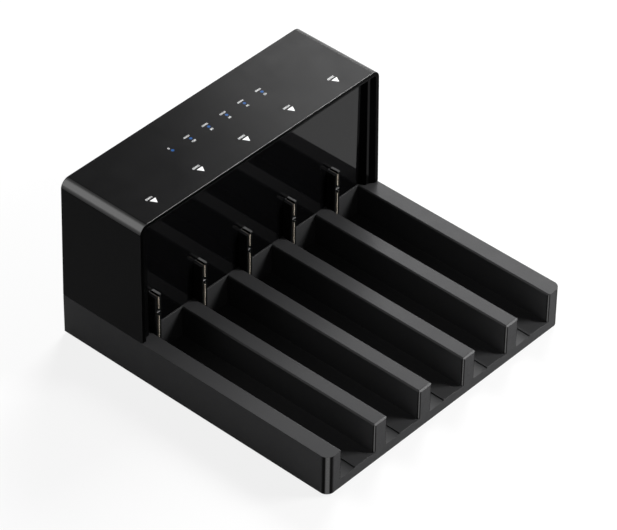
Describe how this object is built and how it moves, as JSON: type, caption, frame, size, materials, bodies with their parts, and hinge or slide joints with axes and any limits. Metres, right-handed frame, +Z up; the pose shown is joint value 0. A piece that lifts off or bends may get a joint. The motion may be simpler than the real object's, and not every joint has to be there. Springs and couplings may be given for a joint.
{
  "type": "hard drive docking station",
  "caption": "Desktop docking station: open lanes hold hard drives on edge against sockets below a glossy-fronted hood.",
  "frame": {"origin": "middle of the footprint, on the table under the rubber feet", "axes": "+Z up, -Y towards the open ends of the lanes, +X to the right seen from the open ends"},
  "size_m": [0.204, 0.2074, 0.1145],
  "materials": {
    "base_plastic": "fine matt moulded texture",
    "hood_plastic": "fine satin moulded texture",
    "bezel_gloss": "polished",
    "panel_gloss": "mirror polished",
    "board": "solder mask",
    "dark_plastic": "moulded",
    "chip_plastic": "moulded",
    "can_metal": "satin",
    "light": "clear, lit blue",
    "ribbon": "satin",
    "bright_metal": "bright plated",
    "tongue_plastic": "moulded",
    "plate_plastic": "fine matt",
    "rocker_plastic": "satin",
    "rubber": "matt",
    "screw_metal": "zinc plated",
    "socket_plastic": "moulded",
    "contact_gold": "gold plated"
  },
  "bodies": {
    "station": {"base_tray": "base_plastic", "bottom_cover": "base_plastic", "hood_shell": "hood_plastic", "front_bezel": "bezel_gloss", "front_panel": "panel_gloss", "backplane_board": "board", "main_board": "board", "board_link": "dark_plastic", "controller_chips": "chip_plastic", "capacitors": "can_metal", "inductors": "chip_plastic", "led_board": "board", "status_leds": "light", "light_pipes": "light", "led_ribbon": "ribbon", "ribbon_plugs": "dark_plastic", "dc_jack": "dark_plastic", "dc_pin": "bright_metal", "usb_shell": "bright_metal", "usb_tongue": "tongue_plastic", "rear_panel": "plate_plastic", "rocker_frame": "dark_plastic", "mode_switch": "bright_metal", "tact_switch": "dark_plastic", "rubber_feet": "rubber", "cover_screws": "screw_metal", "hood_screws": "screw_metal", "backplane_screws": "screw_metal", "main_board_screws": "screw_metal", "led_board_screws": "screw_metal", "receptacle_1": "socket_plastic", "contacts_1": "contact_gold", "receptacle_2": "socket_plastic", "contacts_2": "contact_gold", "receptacle_3": "socket_plastic", "contacts_3": "contact_gold", "receptacle_4": "socket_plastic", "contacts_4": "contact_gold", "receptacle_5": "socket_plastic", "contacts_5": "contact_gold"},
    "rocker": {"power_rocker": "rocker_plastic"},
    "slider": {"mode_slider": "rocker_plastic"},
    "button": {"clone_button": "rocker_plastic"}
  },
  "joints": [
    {"name": "power_rock", "type": "hinge", "parent": "station", "child": "rocker", "pos_m": [0.066, 0.09905, 0.0177], "axis": [1, 0, 0], "range_deg": [-18, 0]},
    {"name": "mode_slide", "type": "slide", "parent": "station", "child": "slider", "axis": [1, 0, 0], "range_m": [0, 0.003]},
    {"name": "clone_press", "type": "slide", "parent": "station", "child": "button", "axis": [0, -1, 0], "range_m": [0, 0.001], "stiffness_N_per_m": 400}
  ]
}
